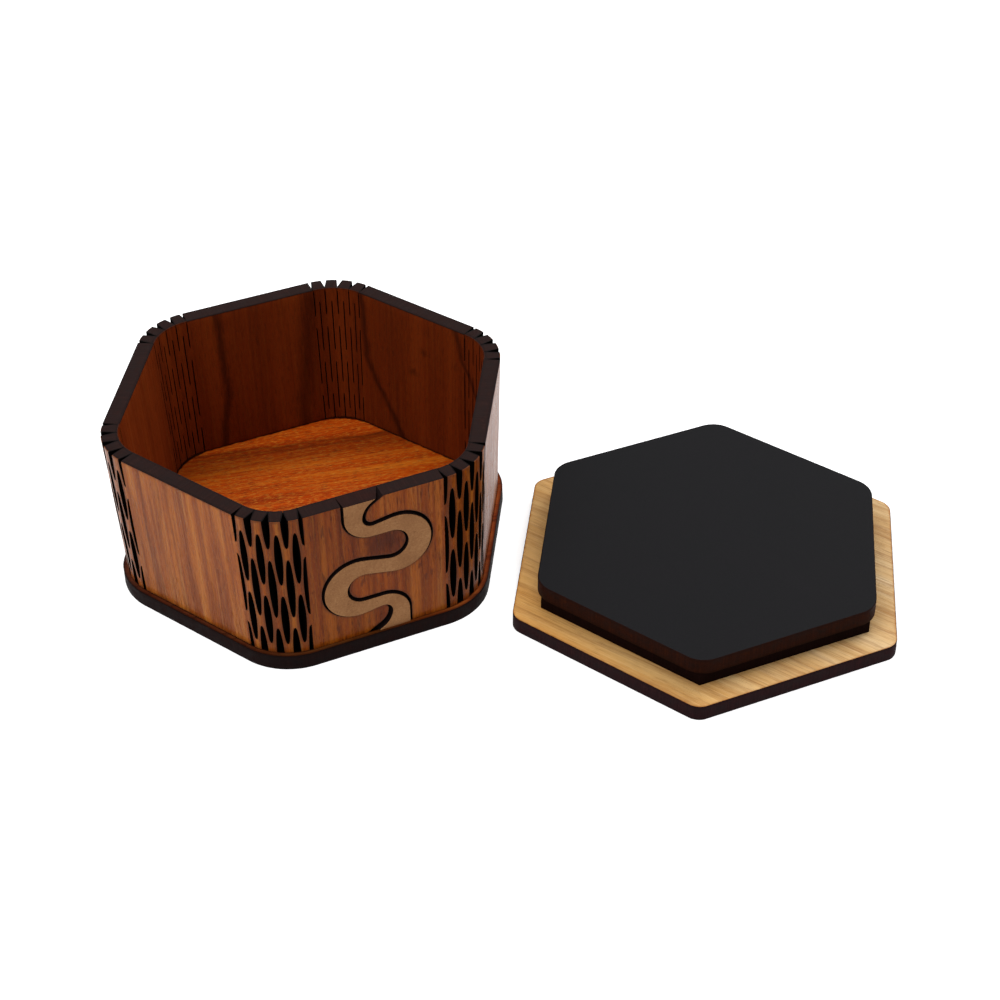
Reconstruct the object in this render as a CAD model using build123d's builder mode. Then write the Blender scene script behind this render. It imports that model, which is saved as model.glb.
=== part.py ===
from build123d import *
import os
from math import atan2, cos, degrees, hypot, radians, sin, sqrt

# Hexagonal box of laser-cut veneered board, with a lift-off lid lying upside down beside it.
# The wall is one strip that stands on the base plate: six flat panels joined by six living hinges,
# locked at the seam by an S-shaped key. Millimetres, +Z up, origin under the middle of the base
# plate, seam facing -Y.

# Board
sheet = 3.2            # thickness of every board
fit_gap = 0.1          # between the lid panel and the wall, before the wall springs outward

# Wall
inside_apothem = 31.45  # centre to the inside of a panel, at the foot
corner_radius = 8.5     # inside of a bent corner, at the foot
wall_height = 31.8
rim_spread = 0.95       # how far the wall springs outward from foot to rim

# Plates and panels
ledge = 1.05            # base plate and lid plate beyond the wall's foot
lid_corner = 3.2        # corner radius of the lid plate
corner_trim = 3.45      # lid panel's corners are tighter than the wall's by this
spacer_setback = 0.85   # spacer inside the lid panel's edge

# Living hinge
hinge_columns = 9       # slot columns from panel to panel; every other one, the first too, reaches the rim
middle_slot = 14.0      # length of the slot half way up an outer column
slot_bridge = 2.6       # board left between two slots of a column
rim_margin = 2.9        # board left above the inner columns' slots
foot_margin = 2.3       # board left below them
slot_opening = 1.2      # widest opening of a bent slot, outside
side_opening = 0.7      # the same beside a flat panel
slit_width = 0.3        # slot width inside, as the laser cut it
slot_facets = 6         # straight facets along each side of a bent slot
cut_margin = 0.3        # cutters stand this far out of the board

# Seam key: runs and bends of its left edge, from the middle of the panel outward
key_stroke = 3.1        # width of the key's runs
bend_stroke = 3.2       # width of the key round its two large bends
bend_swell = 1.13       # how much wider the tips of those bends are
key_margin = 2.78       # board left beside them
key_proud = 0.35        # key standing out of the wall
seam_rise = 0.25        # middle of the seam above the middle of the panel
key_clearance = 0.4     # between the key, in the middle of its slot, and the panel ends it locks
key_settle = 0.25       # how far it has settled in its slot, downward and to the left
key_slope = 12.9        # climb of the middle run, degrees
large_bend = 6.45       # radius round a large bend, where the panel leaves room for it
least_run = 2.0         # middle run left where it doesn't
shoulder_run = 3.7
lower_run = 3.3
lower_slope = 9.5       # climb of the lower run, degrees
tip_radius = 1.9        # round the key's tips
tail_bend = 4.3         # radius of the last bend, towards the rim and the foot
slot_tip_radius = 1.65  # the slot's own tips and last bends are tighter, and leave it wider there
slot_tail_bend = 3.8
tail_run = 6.0
tail_slope = 33.0       # fall of the last run, degrees

# Lid, upside down beside the right front panel
lid_gap = 5.9           # between the two plates
lid_slide = 4.8         # along that panel, towards the front
lid_turn = -1.25        # degrees

# Worked out from the above
outside_apothem = inside_apothem + sheet
plate_apothem = outside_apothem + ledge
lid_panel_apothem = inside_apothem - fit_gap
lid_panel_corner = corner_radius - corner_trim
spacer_apothem = lid_panel_apothem - spacer_setback
bend_apothem = inside_apothem - corner_radius
panel_width = 2 * bend_apothem / sqrt(3)
bend_distance = panel_width  # a hexagon's corner is one side away from its centre
base_corner = plate_apothem - bend_apothem
outside_radius = corner_radius + sheet
slope_height = hypot(wall_height, rim_spread)
lean = degrees(atan2(rim_spread, wall_height))
lean_direction = (0, -rim_spread, wall_height)
corner_turn = 360 / 6
lid_place = Vector(2 * plate_apothem + lid_gap, -lid_slide).rotate(Axis.Z, -corner_turn / 2)


def hexagon_plate(apothem, corner, bottom):
    """Hexagon of board with flats facing +Y and -Y; corner rounds it, or 0 leaves it sharp."""
    with BuildPart() as plate:
        with BuildSketch(Plane.XY.offset(bottom)) as outline:
            RegularPolygon(radius=apothem, side_count=6, major_radius=False)
            if corner:
                fillet(outline.vertices(), radius=corner)
        extrude(amount=sheet)
    return plate.part


def leaning_panel(proud):
    """Flat front panel, leaning out to the rim, with its outside moved out by proud."""
    with BuildPart() as panel:
        with BuildSketch(Plane.XY.offset(sheet)):
            with Locations((0, -inside_apothem)):
                Rectangle(panel_width, sheet + proud, align=(Align.CENTER, Align.MAX))
        extrude(amount=slope_height, dir=lean_direction)
    return panel.part


def save(name, solid, place=Location()):
    """Puts a copy of a piece in its place, labels it and writes it to its own file."""
    with BuildPart() as piece:
        with Locations(place):
            add(solid)
    piece.part.label = name
    export_step(piece.part, f"parts/{name}.step")


os.makedirs("parts", exist_ok=True)

# Base plate, whose top is the floor inside the wall
save("base_plate", hexagon_plate(plate_apothem, base_corner, 0))

# Five whole panels of the wall, round from the seam's right
panel_names = [
    "panel_right_front",
    "panel_right_back",
    "panel_back",
    "panel_left_back",
    "panel_left_front",
]
for step, name in enumerate(panel_names, start=1):
    save(name, leaning_panel(0), Rotation(0, 0, step * corner_turn))

# Seam of the wall, drawn about the middle of the front panel. The key's two large bends reach to its
# margins, on middle runs as long as that takes.
run_share = cos(radians(key_slope))
bend_share = 1 + sin(radians(key_slope))
bend_reach = panel_width / 2 - key_margin + key_stroke / 2 * (bend_share - 1)
loop_radius = min(large_bend, (bend_reach - least_run * run_share) / bend_share)
loop_run = (bend_reach - loop_radius * bend_share) / run_share
upper_radius = loop_radius - bend_stroke
upper_run = loop_run - bend_swell / run_share
shoulder_radius = tip_radius + key_stroke
seam_plane = Plane(origin=(0, 0, sheet + wall_height / 2 + seam_rise), x_dir=(1, 0, 0), z_dir=(0, -1, 0))
seam_depth = outside_apothem + rim_spread + key_proud + sheet


def seam_edge(gap, tip_bend, last_bend):
    """Left edge of the key, from above the rim to below the foot, moved off the key by gap."""
    slope = Vector(-1, 0).rotate(Axis.Z, -key_slope)
    middle = Vector(0, 1).rotate(Axis.Z, -key_slope) * (key_stroke / 2 + gap)
    with BuildLine() as edge:
        climb = Line(middle, middle - slope * upper_run)
        turn = JernArc(climb @ 1, climb % 1, upper_radius - gap, 180 + key_slope)
        back = Line(turn @ 1, turn @ 1 + (turn % 1) * shoulder_run)
        shoulder = JernArc(back @ 1, back % 1, shoulder_radius + gap, -90)
        Line(shoulder @ 1, shoulder @ 1 + Vector(0, wall_height))
        fall = Line(middle, middle + slope * loop_run)
        loop = JernArc(fall @ 1, fall % 1, loop_radius + gap, 180 + key_slope + lower_slope)
        low = Line(loop @ 1, loop @ 1 + (loop % 1) * lower_run)
        tip = JernArc(low @ 1, low % 1, tip_bend - gap, -90 - lower_slope)
        bend = JernArc(tip @ 1, tip % 1, last_bend - gap, tail_slope - 90)
        tail = Line(bend @ 1, bend @ 1 + (bend % 1) * tail_run)
        Line(tail @ 1, tail @ 1 - Vector(0, wall_height))
    return edge.line


with BuildSketch() as left_outline:
    with BuildLine() as border:
        add(seam_edge(key_clearance, slot_tip_radius, slot_tail_bend))
        rim_end = border.vertices().sort_by(Axis.Y)[-1]
        foot_end = border.vertices().sort_by(Axis.Y)[0]
        side = -panel_width / 2
        Polyline(rim_end, (side, rim_end.Y), (side, foot_end.Y), foot_end)
    make_face()

with BuildSketch() as key_outline:
    with BuildLine() as border:
        add(seam_edge(0, tip_radius, tail_bend))
        rim_end = border.vertices().sort_by(Axis.Y)[-1]
        foot_end = border.vertices().sort_by(Axis.Y)[0]
        add(seam_edge(0, tip_radius, tail_bend), rotation=180)
        Line(rim_end, (-foot_end.X, -foot_end.Y))
        Line(foot_end, (-rim_end.X, -rim_end.Y))
    make_face()


def seam_piece(outline, proud, turn=0, settle=0):
    """Part of the front panel inside an outline of the seam, turned half round or moved down and left."""
    with BuildPart() as piece:
        add(leaning_panel(proud))
        with BuildSketch(seam_plane) as cut:
            with Locations((-settle, -settle)):
                add(outline, rotation=turn)
        extrude(cut.sketch, amount=seam_depth, mode=Mode.INTERSECT)
    return piece.part


save("seam_panel_left", seam_piece(left_outline.sketch, 0))
save("seam_panel_right", seam_piece(left_outline.sketch, 0, turn=180))
save("seam_key", seam_piece(key_outline.sketch, key_proud, settle=key_settle))


def slot_corners(opening, slit, height, length):
    """Corners of a bent slot, centred at a height up the wall: a lens in facets outside, a slit inside."""
    flare = (opening - slit) * cut_margin / sheet
    corners = []
    for step in range(slot_facets + 1):
        share = 2 * step / slot_facets - 1
        lens = slit + (opening + flare - slit) * (1 - share**2)
        corners += [(side * lens / 2, height + share * length / 2, cut_margin) for side in (-1, 1)]
    for end in (height - length / 2, height + length / 2):
        corners += [(side * (slit - flare) / 2, end, -sheet - cut_margin) for side in (-1, 1)]
    return corners


# Living hinge: a corner of the wall about its bending axis, from the X direction to the next panel's.
# It is a row of flat leaning strips, one between each two slot columns. Outer columns have a slot in
# the middle and run out at the rim and the foot; inner ones have two slots.
last_column = hinge_columns - 1
strip_turn = corner_turn / last_column
strip_share = cos(radians(strip_turn / 2))
strip_reach = 2 * (outside_radius + rim_spread)

with BuildPart() as strip:
    with BuildSketch(Plane.XY.offset(sheet)):
        with Locations((outside_radius * strip_share, 0)):
            Rectangle(sheet * strip_share, strip_reach, align=(Align.MAX, Align.CENTER))
    strip_rise = Vector(rim_spread * strip_share, 0, wall_height)
    extrude(amount=strip_rise.length, dir=strip_rise)
    with BuildSketch(Plane.XY.offset(sheet)):
        with BuildLine():
            Polyline(
                Vector(strip_reach, 0).rotate(Axis.Z, -strip_turn / 2),
                (0, 0),
                Vector(strip_reach, 0).rotate(Axis.Z, strip_turn / 2),
                close=True,
            )
        make_face()
    extrude(amount=wall_height, mode=Mode.INTERSECT)

end_slot = slope_height - middle_slot - 2 * slot_bridge
inner_slot = (slope_height - rim_margin - foot_margin - slot_bridge) / 2
outer_slots = [(0, end_slot), (slope_height / 2, middle_slot), (slope_height, end_slot)]
inner_slots = [
    (foot_margin + inner_slot / 2, inner_slot),
    (slope_height - rim_margin - inner_slot / 2, inner_slot),
]

with BuildPart() as living_hinge:
    with PolarLocations(0, last_column, start_angle=strip_turn / 2, angular_range=corner_turn):
        add(strip.part)
    for column in range(hinge_columns):
        turn = strip_turn * column
        face = Plane(
            origin=Vector(outside_radius, 0, sheet).rotate(Axis.Z, turn),
            x_dir=Vector(0, 1, 0).rotate(Axis.Z, turn),
            z_dir=Vector(cos(radians(lean)), 0, -sin(radians(lean))).rotate(Axis.Z, turn),
        )
        beside_panel = column in (0, last_column)
        opening = 2 * side_opening if beside_panel else slot_opening
        slit = 2 * slit_width if beside_panel else slit_width
        with Locations(face):
            for height, length in inner_slots if column % 2 else outer_slots:
                ConvexPolyhedron(slot_corners(opening, slit, height, length), mode=Mode.SUBTRACT)

hinge_names = [
    "hinge_front_right",
    "hinge_right",
    "hinge_back_right",
    "hinge_back_left",
    "hinge_left",
    "hinge_front_left",
]
for step, name in enumerate(hinge_names):
    bend_axis = Vector(0, -bend_distance).rotate(Axis.Z, (step + 0.5) * corner_turn)
    save(name, living_hinge.part, Location(bend_axis, (0, 0, step * corner_turn - 90)))

# Lid: three boards glued together, outer face down
lid_location = Location(lid_place, (0, 0, lid_turn))
save("lid_plate", hexagon_plate(plate_apothem, lid_corner, 0), lid_location)
save("lid_spacer", hexagon_plate(spacer_apothem, 0, sheet), lid_location)
save("lid_panel", hexagon_plate(lid_panel_apothem, lid_panel_corner, 2 * sheet), lid_location)
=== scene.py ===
from math import cos, pi, radians, sin, sqrt, tan

import bmesh
import bpy
import numpy as np
from mathutils import Matrix, Vector


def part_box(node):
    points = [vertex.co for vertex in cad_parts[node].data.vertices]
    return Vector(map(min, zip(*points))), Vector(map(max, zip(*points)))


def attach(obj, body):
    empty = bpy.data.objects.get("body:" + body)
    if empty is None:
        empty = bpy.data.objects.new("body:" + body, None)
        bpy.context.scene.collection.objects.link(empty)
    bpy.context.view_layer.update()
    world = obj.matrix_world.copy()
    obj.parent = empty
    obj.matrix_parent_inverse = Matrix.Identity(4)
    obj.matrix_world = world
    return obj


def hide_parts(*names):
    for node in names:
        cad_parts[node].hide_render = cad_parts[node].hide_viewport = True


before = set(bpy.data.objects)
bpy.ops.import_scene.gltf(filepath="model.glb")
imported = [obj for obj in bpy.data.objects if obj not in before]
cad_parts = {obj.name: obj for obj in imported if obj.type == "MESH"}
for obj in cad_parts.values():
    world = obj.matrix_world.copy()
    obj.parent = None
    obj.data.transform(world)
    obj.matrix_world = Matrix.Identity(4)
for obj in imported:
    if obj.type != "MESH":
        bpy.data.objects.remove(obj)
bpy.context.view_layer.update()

# Hexagonal box of laser-cut veneered board, with its lid lying upside down beside it.
# Metres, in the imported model's frame: +Z up, the seam facing -Y.

mm = 0.001
scene = bpy.context.scene

# Sizes read from the frame
base_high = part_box("base_plate")[1]
back_low, back_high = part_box("panel_back")
lid_low, lid_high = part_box("lid_plate")

corner_reach = 2 / sqrt(3)  # a hexagon's corner is this much farther out than its flats
corner_turn = pi / 3
sheet = base_high.z
foot = base_high.z
wall_height = back_high.z - foot
panel_width = back_high.x - back_low.x
inside_apothem = back_low.y
rim_spread = back_high.y - inside_apothem - sheet
plate_apothem = base_high.y
base_corner = (plate_apothem * corner_reach - base_high.x) / (corner_reach - 1)
bend_distance = panel_width  # a hexagon's corners are one side away from its middle
corner_radius = inside_apothem - panel_width / corner_reach
outside_radius = corner_radius + sheet
lid_place = (lid_low + lid_high) / 2

# Sizes that the frame doesn't give
lid_turn = radians(-1.25)
lid_corner = 3.2 * mm
lid_panel_apothem = inside_apothem - 0.1 * mm
lid_panel_corner = corner_radius - 3.45 * mm
spacer_apothem = lid_panel_apothem - 0.85 * mm
spacer_corner = 0.15 * mm
wall_inset = plate_apothem - inside_apothem  # of the wall's inside from the base plate's outline
floor_reach = 0.45 * mm  # how far the floor's finish runs on under the wall
under_wall = wall_inset - floor_reach

# Living hinge
hinge_columns = 9
middle_slot = 14.0 * mm
slot_bridge = 2.6 * mm
rim_margin = 2.9 * mm
foot_margin = 2.3 * mm
slot_opening = 1.2 * mm
side_opening = 1.4 * mm
slit_width = 0.3 * mm
side_slit = 0.6 * mm
throat_lap = 0.06 * mm
throat_depths = (0.78, 0.9)
tip_power = 30  # how blunt the tip of a slot is
lip_share = 0.4  # half width of a slot inside, over the width of its slit
rim_crack = 0.02 * mm
crack_depth = 0.8 * mm
closed_gap = 1e-7
strip_turn = corner_turn / (hinge_columns - 1)
strip_width = 2 * outside_radius * sin(strip_turn / 2)
hinge_run = strip_width * (hinge_columns - 1)
strip_pitch = panel_width + hinge_run

# Middles of panels along the strip, from the seam round to the seam
right_back_run = 2 * strip_pitch
back_run = 3 * strip_pitch
whole_run = 6 * strip_pitch

# Seam key, from the middle of the front panel outward
key_stroke = 3.1 * mm
bend_stroke = 3.2 * mm
bend_swell = 1.13 * mm
key_margin = 2.78 * mm
key_proud = 0.35 * mm
key_clearance = 0.4 * mm
key_settle = 0.25 * mm
key_slack = 0.005 * mm
seam_rise = 0.25 * mm
key_slope = radians(12.9)
lower_slope = radians(9.5)
tail_slope = radians(33)
loop_radius = 6.45 * mm
shoulder_run = 3.7 * mm
lower_run = 3.3 * mm
tip_radius = 1.9 * mm
tail_bend = 4.3 * mm
slot_tip_radius = 1.65 * mm
slot_tail_bend = 3.8 * mm
bend_reach = panel_width / 2 - key_margin + key_stroke / 2 * sin(key_slope)
loop_run = (bend_reach - loop_radius * (1 + sin(key_slope))) / cos(key_slope)
upper_run = loop_run - bend_swell / cos(key_slope)
seam_top = wall_height / 2 - seam_rise
seam_bottom = -wall_height / 2 - seam_rise

# Edges as the laser and the sanding leave them
ease = 0.12 * mm
round_inset = 0.3 * ease  # of the middle of an eased edge
kerf_lean = 0.05 * mm
char_ripple = 0.035 * mm
ripple_waves = [(2.9, 1), (1.31, -2), (4.7, 3)]  # radians per millimetre along the edge and up it
far_from_edge = 9.0 * mm

# Steps of the meshes
bend_points = 15
run_points = 60
section_bend = 3
section_run = 21
panel_points = 25
slot_rows = 10
bar_shares = np.array([-1, -0.72, -0.4, 0, 0.4, 0.72, 1])  # across a bar of the lattice
bar_depths = np.array([0.04, 0.5, *throat_depths])  # down its sides
face_rows = np.array([0.93, 0.6, 0.3])  # insets on a plate's face, over its apothem
border_rows = np.array([2.4, 1.2, 0.6, 0.3]) * mm
merge_distance = 0.5e-6
sharp_angle = radians(32)


# Meshes


def spread(*coordinates):
    """Points from coordinates that are given along some of the grid's axes only."""
    return np.stack(np.broadcast_arrays(*coordinates), axis=-1)


def piece(name, points, faces, finishes, finish_of_face, notes, body, node):
    """New piece that rides on a body in a CAD node's stead: doubles merged, strays removed, edges sharp."""
    mesh = bpy.data.meshes.new(name)
    mesh.from_pydata(points.reshape(-1, 3).tolist(), [], faces)
    for finish in finishes:
        mesh.materials.append(finish)
    mesh.polygons.foreach_set("material_index", np.asarray(finish_of_face, np.int32))
    for note, values in notes.items():
        kind, field = ("FLOAT", "value") if values.ndim == 1 else ("FLOAT_VECTOR", "vector")
        mesh.attributes.new(note, kind, "POINT").data.foreach_set(field, values.astype(np.float32).ravel())
    shell = bmesh.new()
    shell.from_mesh(mesh)
    bmesh.ops.remove_doubles(shell, verts=shell.verts, dist=merge_distance)
    bmesh.ops.delete(shell, geom=[v for v in shell.verts if not v.link_faces], context="VERTS")
    bmesh.ops.recalc_face_normals(shell, faces=shell.faces)
    shell.to_mesh(mesh)
    shell.free()
    mesh.shade_smooth()
    mesh.set_sharp_from_angle(angle=sharp_angle)
    made = bpy.data.objects.new(name, mesh)
    scene.collection.objects.link(made)
    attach(made, body)
    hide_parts(node)


def tube_faces(rows, ring):
    """Faces of a tube: quads between the rows of a closed ring of points, and a polygon at each end. They
    face out when the ring turns left going up."""
    row = np.arange(rows - 1)[:, None] * ring
    here = np.arange(ring)[None, :]
    after = (here + 1) % ring
    quads = np.stack([row + here, row + after, row + ring + after, row + ring + here], axis=-1)
    ends = [list(range(ring))[::-1], list(range((rows - 1) * ring, rows * ring))]
    return quads.reshape(-1, 4).tolist() + ends


def hexagon_outline(apothem, corner):
    """Outline of a hexagon with flats facing +Y and -Y. Round each corner it is the corner's centre plus
    the radius in a direction that turns through 60 degrees; a straight run leads to the next corner."""
    turns = np.arange(6)[:, None] * corner_turn + np.linspace(-corner_turn / 2, corner_turn / 2, bend_points)
    centres = (apothem - corner) * corner_reach * np.exp(1j * np.arange(6) * corner_turn)
    bends = centres[:, None] + corner * np.exp(1j * turns)
    starts = bends[:, -1:]
    ends = np.roll(bends[:, 0], -1)[:, None]
    runs = starts + (ends - starts) * np.linspace(0, 1, run_points + 2)[1:-1]
    outline = np.concatenate([bends, runs], axis=1).ravel()
    return np.stack([outline.real, outline.imag], axis=1)


def plate_section(apothem):
    """Section of a plate from the middle of its underside, out and up its cut edge, to the middle of its top,
    as inset from the outline and height. Both rims of the edge are quarter rounds, and the edge leans in by
    the laser's taper."""
    face = np.concatenate([face_rows * apothem, [under_wall], border_rows])
    bend = np.linspace(0, pi / 2, section_bend + 1)
    lower = np.stack([ease * (1 - np.sin(bend)), ease * (1 - np.cos(bend))], axis=1)
    upper = np.stack([ease * (1 - np.cos(bend)), sheet - ease * (1 - np.sin(bend))], axis=1)
    wall = np.linspace(ease, sheet - ease, 7)[1:-1]
    section = np.concatenate([
        np.stack([face, np.zeros_like(face)], axis=1),
        lower,
        np.stack([np.zeros_like(wall), wall], axis=1),
        upper,
        np.stack([face[::-1], np.full_like(face, sheet)], axis=1),
    ])
    on_edge = (section[:, 0] < 0.9 * ease).astype(float)
    leaning = section[:, 1] / sheet * on_edge
    drawn_in = (section[:, 1] > sheet / 2) * (1 - on_edge)
    section[:, 0] += kerf_lean * (leaning + drawn_in)
    return section, on_edge


def plate(name, apothem, corner, bottom, centre, turn, finishes, body):
    """Hexagonal plate: its section carried round its outline. A point is the outline drawn in towards the
    middle by its inset, at the section's height. The cut edge is nibbled inward by a ripple of three waves.
    The finishes are those of the top, the underside, the cut edge and the top's border beyond the wall."""
    outline = hexagon_outline(apothem, corner)
    section, on_edge = plate_section(apothem)
    step = np.linalg.norm(np.roll(outline, -1, axis=0) - outline, axis=1)
    along = np.cumsum(step)[None, :] / mm
    level = section[:, 1:] / mm
    waves = sum(np.sin(along * onward + level * upward) for onward, upward in ripple_waves)
    ripple = char_ripple * (waves + 3) / 6 * on_edge[:, None]
    share = 1 - (section[:, :1] + ripple) / apothem
    flat = outline[None, :, :] * share[:, :, None]
    x = centre.x + flat[..., 0] * cos(turn) - flat[..., 1] * sin(turn)
    y = centre.y + flat[..., 0] * sin(turn) + flat[..., 1] * cos(turn)
    points = spread(x, y, bottom + section[:, 1:])

    rows, ring = x.shape
    inset, height = (section[:-1] + section[1:]).T / 2
    face = np.where(height < sheet / 2, 1, np.where(inset < under_wall, 3, 0))
    kind = np.where(on_edge[:-1] + on_edge[1:] > 0, 2, face)
    faces = tube_faces(rows, ring)
    finish_of_face = np.append(np.repeat(kind, ring), [1, 0])
    edge = np.broadcast_to(section[:, :1], x.shape).ravel()
    place = spread(along * mm, section[:, 1:], section[:, :1])
    notes = {"edge": edge, "rim_place": place.reshape(-1, 3)}
    piece(name + "_board", points, faces, finishes, finish_of_face, notes, body, name)


def wall_section():
    """Section of the wall's board: a closed rounded rectangle of depth and height, up the outside, over the
    rim, down the inside and under the foot. Each corner is a quarter round of the eased edge."""
    turns = np.linspace(-pi / 2, 0, section_bend + 1)
    centres = np.array([
        [sheet - ease, ease],
        [sheet - ease, wall_height - ease],
        [ease, wall_height - ease],
        [ease, ease],
    ])
    angles = turns[None, :] + np.arange(4)[:, None] * pi / 2
    bends = centres[:, None, :] + ease * np.stack([np.cos(angles), np.sin(angles)], axis=-1)
    starts = bends[:, -1:, :]
    ends = np.roll(bends[:, 0, :], -1, axis=0)[:, None, :]
    runs = starts + (ends - starts) * np.linspace(0, 1, section_run + 1)[1:-1, None]
    loop = np.concatenate([bends, runs], axis=1).reshape(-1, 2)
    kind = np.concatenate([np.repeat([2, face], [section_bend, section_run]) for face in (0, 2, 1, 2)])
    return loop, kind


def wall_panel(name, step, finishes):
    """Flat panel of the wall: the wall's section carried along the panel's width, leaning out to the rim, and
    turned about the box's axis to its own side."""
    loop, kind = wall_section()
    across = np.linspace(-panel_width / 2, panel_width / 2, panel_points)
    out = inside_apothem + loop[:, 0] + rim_spread * loop[:, 1] / wall_height
    turn = (step - 1.5) * corner_turn
    x = out[None, :] * cos(turn) - across[:, None] * sin(turn)
    y = out[None, :] * sin(turn) + across[:, None] * cos(turn)
    points = spread(x, y, foot + loop[None, :, 1])
    rows, ring = x.shape
    faces = [face[::-1] for face in tube_faces(rows, ring)]
    finish_of_face = np.append(np.tile(kind, rows - 1), [3, 3])
    run = step * strip_pitch + across[:, None]
    strip = spread(run, loop[None, :, 1], loop[None, :, 0])
    edge = np.minimum(loop[:, 1], wall_height - loop[:, 1])
    notes = {"strip": strip.reshape(-1, 3), "edge": np.broadcast_to(edge, x.shape).ravel()}
    piece(name + "_board", points, faces, finishes, finish_of_face, notes, "box", name)


def slot_gaps(height, slots, opening, slit):
    """Half widths of a column of slots at each height, outside and inside, and how far it is open there.
    Outside a slot is a lens, a parabola over its length on top of the laser's own width; inside the scorched
    lips open it a little. All close in a round tip."""
    outside = np.zeros_like(height)
    tip = np.zeros_like(height)
    for middle, length in slots:
        share = np.clip(2 * (height - middle) / length, -1, 1)
        tip += 1 - share**tip_power
        outside += slit / 2 * (1 - share**tip_power) + (opening - slit) / 2 * (1 - share**2)
    return outside, lip_share * slit * tip, tip


def hinge_pattern():
    """Heights of the lattice's rows, which crowd towards the slots' ends, and what slot_gaps says of each
    column there. Odd columns have two slots; even ones have one, and half ones at rim and foot. The columns
    beside the panels are wider."""
    end_slot = wall_height - middle_slot - 2 * slot_bridge
    inner_slot = (wall_height - rim_margin - foot_margin - slot_bridge) / 2
    outer_slots = [(0, end_slot), (wall_height / 2, middle_slot), (wall_height, end_slot)]
    inner_slots = [
        (foot_margin + inner_slot / 2, inner_slot),
        (wall_height - rim_margin - inner_slot / 2, inner_slot),
    ]
    slot_ends = [m + s * n / 2 for m, n in outer_slots + inner_slots for s in (-1, 1)]
    marks = np.unique(np.clip(np.round(slot_ends + [ease, wall_height - ease], 7), 0, wall_height))
    steps = (1 - np.cos(np.linspace(0, pi, slot_rows + 1)[:-1])) / 2
    height = np.append((marks[:-1, None] + np.diff(marks)[:, None] * steps).ravel(), wall_height)
    by_panel = slot_gaps(height, outer_slots, side_opening, side_slit)
    odd = slot_gaps(height, inner_slots, slot_opening, slit_width)
    even = slot_gaps(height, outer_slots, slot_opening, slit_width)
    between = [odd if column % 2 else even for column in range(1, hinge_columns - 1)]
    gaps = np.array([by_panel, *between, by_panel])
    gaps[np.abs(gaps) < closed_gap] = 0
    return height, gaps


def bar_sides(height, gaps, depth):
    """How far the points of a bar lie from the bend's axis, and its left and right sides from its middle, by
    height, bar and depth. A bar fills its share of the bend, drawn in at both sides by the slots beside it,
    outside more than inside. The bend has pinched each slot to a throat where one lip laps over the other, so
    it can't be seen through; only at the rim it stays open as a crack."""
    columns = np.arange(hinge_columns)
    last = columns[-1]
    rim_ease = np.maximum(0, np.maximum(height - wall_height + ease, ease - height))
    drawn_in = ease - np.sqrt(np.maximum(ease**2 - rim_ease**2, 0))
    out = (outside_radius + rim_spread * height / wall_height)[:, None, None] - sheet * depth
    out = out + drawn_in[:, None, None] * np.where(depth == 0, -1, np.where(depth == 1, 1, 0))
    out = np.broadcast_to(out * cos(strip_turn / 2), (len(height), last, len(depth)))
    wedge = out * tan(strip_turn / 2)
    outside, inside, tip = gaps.transpose(1, 2, 0)[..., None]
    near_rim = np.clip(1 - (wall_height - height) / crack_depth, 0, 1)[:, None, None]
    crack = rim_crack * tip * near_rim
    lap = throat_lap * tip * (1 - near_rim) * ((columns > 0) & (columns < last))[None, :, None]
    knots = (0, *throat_depths, 1)
    weights = [np.interp(depth, knots, row) for row in np.eye(4)]
    lips = inside * (1 - near_rim) + crack
    gap = outside * weights[0] + crack * (weights[1] + weights[2]) + lips * weights[3]
    gap = gap + np.minimum(ease, outside / 2) * (depth == 0)
    left = (gap + lap * (2 * weights[1] - weights[2]))[:, :-1] - wedge
    right = wedge - (gap + lap * (2 * weights[2] - weights[1]))[:, 1:]
    return out, left, right


def bar_faces(gaps):
    """Faces of all bars and their finishes: outside and inside, the sides where a slot or a panel is, and
    quads across rim and foot, of which the outer two take in the sides' own points."""
    across = len(bar_shares)
    down = len(bar_depths)
    bars = np.arange(hinge_columns - 1)
    rows = np.arange(gaps.shape[2])
    part = np.repeat([0, 2, 1, 3], [across - 1, down + 1, across - 1, down + 1])
    ring = len(part)
    open_gap = (gaps[:, 0, 1:] > 0) | (gaps[:, 0, :-1] > 0)
    open_right = (open_gap[1:] | (bars == bars[-1])[:, None]).T[:, :, None]
    open_left = (open_gap[:-1] | (bars == 0)[:, None]).T[:, :, None]
    kept = (part < 2) | ((part == 2) & open_right) | ((part == 3) & open_left)
    here = (rows[:, None, None] * len(bars) + bars[None, :, None]) * ring + np.arange(ring)
    after = np.roll(here, -1, axis=2)
    quads = np.stack([here[:-1], after[:-1], after[1:], here[1:]], axis=-1)[kept]
    kind = np.broadcast_to(part, kept.shape)[kept]

    inner = 2 * across + down - 1 - np.arange(across)
    strips = [[n, n + 1, inner[n + 1], inner[n]] for n in range(across - 1)]
    strips[0] = [0, 1, inner[1], inner[0]] + list(range(ring - down, ring))
    strips[-1] = list(range(across - 2, across + down + 2))
    caps = [here[row, bar, strip][::order].tolist()
            for row, order in ((-1, 1), (0, -1)) for bar in bars for strip in strips]
    return quads.tolist() + caps, np.append(np.where(kind < 2, kind, 3), np.full(len(caps), 2))


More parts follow.
